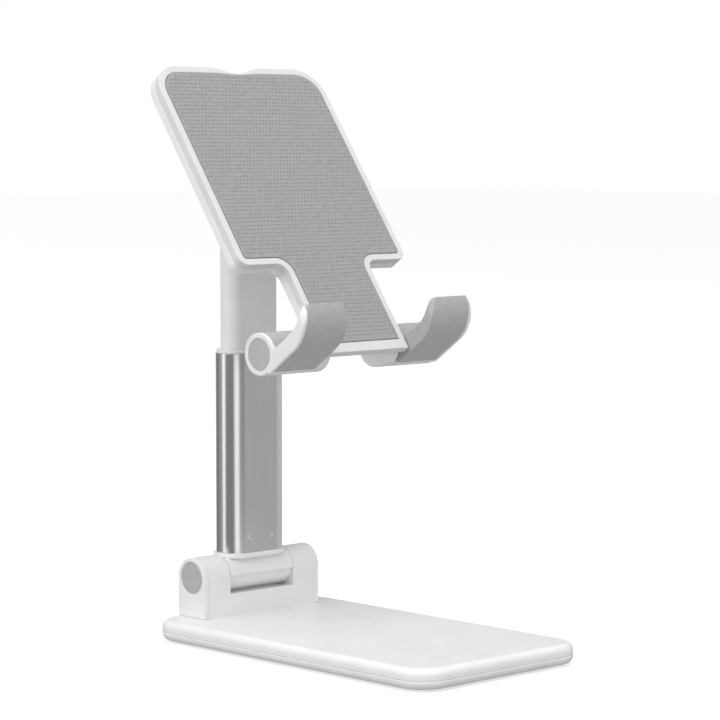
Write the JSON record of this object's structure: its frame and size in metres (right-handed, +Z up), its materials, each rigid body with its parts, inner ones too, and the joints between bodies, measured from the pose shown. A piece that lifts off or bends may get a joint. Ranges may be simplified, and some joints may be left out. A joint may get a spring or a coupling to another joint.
{
  "type": "phone stand",
  "caption": "Folding desk stand for a phone: weighted base, hinged column with a sliding post, tilting padded plate and fold-out hooks.",
  "frame": {"origin": "on the table, under the middle of the base", "axes": "+X to the right of a person facing the stand, -Y towards that person, +Z up"},
  "size_m": [0.0632, 0.1104, 0.1604],
  "materials": {
    "white_plastic": "satin moulded ABS",
    "grey_silicone": "matte moulded silicone with a fine dot grid",
    "foot_silicone": "matte moulded silicone",
    "brushed_aluminium": "brushed lengthways, clear anodised",
    "turned_metal": "fine turned rings",
    "zinc_steel": "zinc plated",
    "grey_nylon": "matte"
  },
  "bodies": {
    "base": {"base_shell": "white_plastic", "base_bottom_cover": "white_plastic", "base_foot_pad": "foot_silicone", "base_cover_screws": "zinc_steel", "base_end_cap_left": "white_plastic", "base_end_cap_right": "white_plastic", "base_hinge_disc_left": "turned_metal", "base_hinge_disc_right": "turned_metal", "base_hinge_pin": "zinc_steel", "base_hinge_nut": "zinc_steel", "base_hinge_washers": "grey_nylon", "counterweight_plate": "zinc_steel"},
    "column": {"column_foot": "white_plastic", "column_sleeve": "brushed_aluminium", "sleeve_collar": "white_plastic", "sleeve_rivets": "turned_metal"},
    "post": {"sliding_post": "white_plastic", "post_glide": "grey_nylon", "post_head": "white_plastic"},
    "holder": {"holder_frame": "white_plastic", "holder_back": "white_plastic", "holder_pad": "grey_silicone", "holder_screws": "zinc_steel", "tilt_pin": "zinc_steel", "tilt_nut": "zinc_steel", "tilt_washers": "grey_nylon", "tilt_cap_left": "white_plastic", "tilt_cap_right": "white_plastic", "hook_pins": "zinc_steel"},
    "hook_left": {"hook_left": "white_plastic", "hook_cover_left": "grey_silicone", "hook_disc_left": "turned_metal"},
    "hook_right": {"hook_right": "white_plastic", "hook_cover_right": "grey_silicone", "hook_disc_right": "turned_metal"}
  },
  "joints": [
    {"name": "base_fold", "type": "hinge", "parent": "base", "child": "column", "pos_m": [0, 0.0469, 0.0174], "axis": [1, 0, 0], "range_deg": [0, 57]},
    {"name": "post_slide", "type": "slide", "parent": "column", "child": "post", "axis": [0, 0, 1], "range_m": [-0.04, 0.002]},
    {"name": "plate_tilt", "type": "hinge", "parent": "post", "child": "holder", "pos_m": [0, 0.0469, 0.133], "axis": [-1, 0, 0], "range_deg": [-35.3, 55]},
    {"name": "hook_left_fold", "type": "hinge", "parent": "holder", "child": "hook_left", "pos_m": [-0.02365, 0.00709, 0.08301], "axis": [-1, 0, 0], "range_deg": [0, 90]},
    {"name": "hook_right_fold", "type": "hinge", "parent": "holder", "child": "hook_right", "pos_m": [0.02365, 0.00709, 0.08301], "axis": [-1, 0, 0], "range_deg": [0, 90]}
  ]
}
